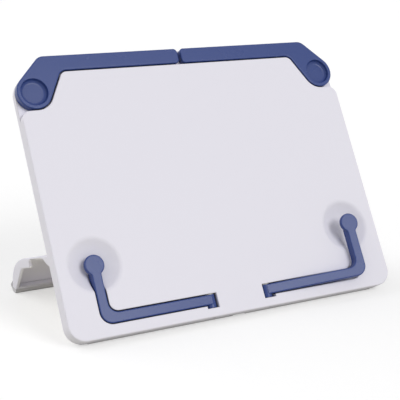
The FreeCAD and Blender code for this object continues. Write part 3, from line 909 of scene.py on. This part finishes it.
@dataclass
class Studio:
    """Pale floor, soft light and the camera."""

    floor_size: float = 40.0
    floor_bounce: Colour = (0.60, 0.592, 0.52)
    floor_shown: Colour = (0.61, 0.61, 0.61)
    floor_glow: float = 0.440
    fill_strength: float = 0.50
    seen_strength: float = 1.0
    lamps: tuple[SoftLamp, ...] = (
        SoftLamp("key_light", direction=(0.31, -0.74, 0.59), strength=0.60, angle=30.0),
        SoftLamp("front_light", direction=(0.24, -0.82, 0.51), strength=0.64, angle=26.0),
        SoftLamp("side_light", direction=(-0.75, -0.50, 0.43), strength=0.20, angle=70.0),
        SoftLamp("rim_light", direction=(-0.60, 0.62, 0.50), strength=1.17, angle=60.0),
    )
    card: ReflectorCard = ReflectorCard(
        "leg_card", place=(-0.095, -0.01, 0.002), size=(0.12, 0.09), power=0.026, colour=(1.0, 0.975, 0.74))
    camera_from_hinge: Place = (-0.4251, -0.7526, 0.2516)
    camera_look: Place = (0.4647, 0.8507, -0.2455)
    camera_lens: float = 93.2
    camera_sensor: float = 36.0

    def build(self) -> None:
        """Set the stage."""
        self.floor()
        self.world()
        for lamp in self.lamps:
            lamp.build()
        self.card.build()
        self.camera()
        bpy.context.scene.view_settings.view_transform = "Standard"

    def seen_directly(self, graph: Graph) -> bpy.types.NodeSocket:
        """Tell what is looked at from what only spreads light.

        Args:
            graph: The material's or the world's graph.

        Returns:
            A socket with 1 for the camera, a reflection or a view through glass, and 0 for other rays.
        """
        path = graph.add("ShaderNodeLightPath").outputs
        mirrored = graph.maths("MAXIMUM", path["Is Glossy Ray"], path["Is Transmission Ray"])
        return graph.maths("MAXIMUM", path["Is Camera Ray"], mirrored)

    def floor(self) -> None:
        """Lay a wide pale floor that keeps the stand's shadow."""
        shape = bmesh.new()
        bmesh.ops.create_grid(shape, x_segments=1, y_segments=1, size=self.floor_size / 2)
        material = bpy.data.materials.new("studio_floor")
        material.use_nodes = True
        material.node_tree.nodes.clear()
        graph = Graph(material.node_tree)
        spread = graph.add("ShaderNodeBsdfDiffuse", {"Color": (*self.floor_bounce, 1.0)})
        shadowed = graph.add("ShaderNodeBsdfDiffuse", {"Color": (*self.floor_shown, 1.0)})
        glow = graph.add("ShaderNodeEmission", {"Color": WHITE, "Strength": self.floor_glow})
        shown = graph.add("ShaderNodeAddShader")
        graph.link(shadowed.outputs[0], shown.inputs[0])
        graph.link(glow.outputs[0], shown.inputs[1])
        choice = graph.add("ShaderNodeMixShader")
        graph.link(self.seen_directly(graph), choice.inputs[0])
        graph.link(spread.outputs[0], choice.inputs[1])
        graph.link(shown.outputs[0], choice.inputs[2])
        out = graph.add("ShaderNodeOutputMaterial")
        graph.link(choice.outputs[0], out.inputs["Surface"])
        floor = piece_from(shape, "studio_floor", material)

    def world(self) -> None:
        """Light the stand evenly from all round, with white where the surroundings are seen directly."""
        world = bpy.data.worlds.new("studio_dome")
        world.use_nodes = True
        world.node_tree.nodes.clear()
        graph = Graph(world.node_tree)
        fill = graph.add("ShaderNodeBackground", {"Color": WHITE, "Strength": self.fill_strength})
        seen = graph.add("ShaderNodeBackground", {"Color": WHITE, "Strength": self.seen_strength})
        choice = graph.add("ShaderNodeMixShader")
        graph.link(self.seen_directly(graph), choice.inputs[0])
        graph.link(fill.outputs[0], choice.inputs[1])
        graph.link(seen.outputs[0], choice.inputs[2])
        out = graph.add("ShaderNodeOutputWorld")
        graph.link(choice.outputs[0], out.inputs["Surface"])
        bpy.context.scene.world = world

    def camera(self) -> None:
        """Take the photograph's view, placed from the leg's hinge."""
        lens = bpy.data.cameras.new("photo_view")
        lens.lens = self.camera_lens
        lens.sensor_width = self.camera_sensor
        holder = bpy.data.objects.new("photo_view", lens)
        holder.location = joint_place("leg_fold") + Vector(self.camera_from_hinge)
        holder.rotation_euler = Vector(self.camera_look).to_track_quat("-Z", "Y").to_euler()
        bpy.context.scene.collection.objects.link(holder)
        bpy.context.scene.camera = holder


def main() -> None:
    """Build the stand's pieces in order, dress them and set the stage."""
    logging.basicConfig(level=logging.INFO, format="%(name)s: %(message)s")
    wardrobe = Wardrobe()
    for assembly in (Panel(wardrobe), RearLeg(wardrobe)):
        assembly.dress()
        assembly.build()
    Wings(wardrobe).dress()
    PageHolders(wardrobe).dress()
    Studio().build()


if __name__ == "__main__":
    main()
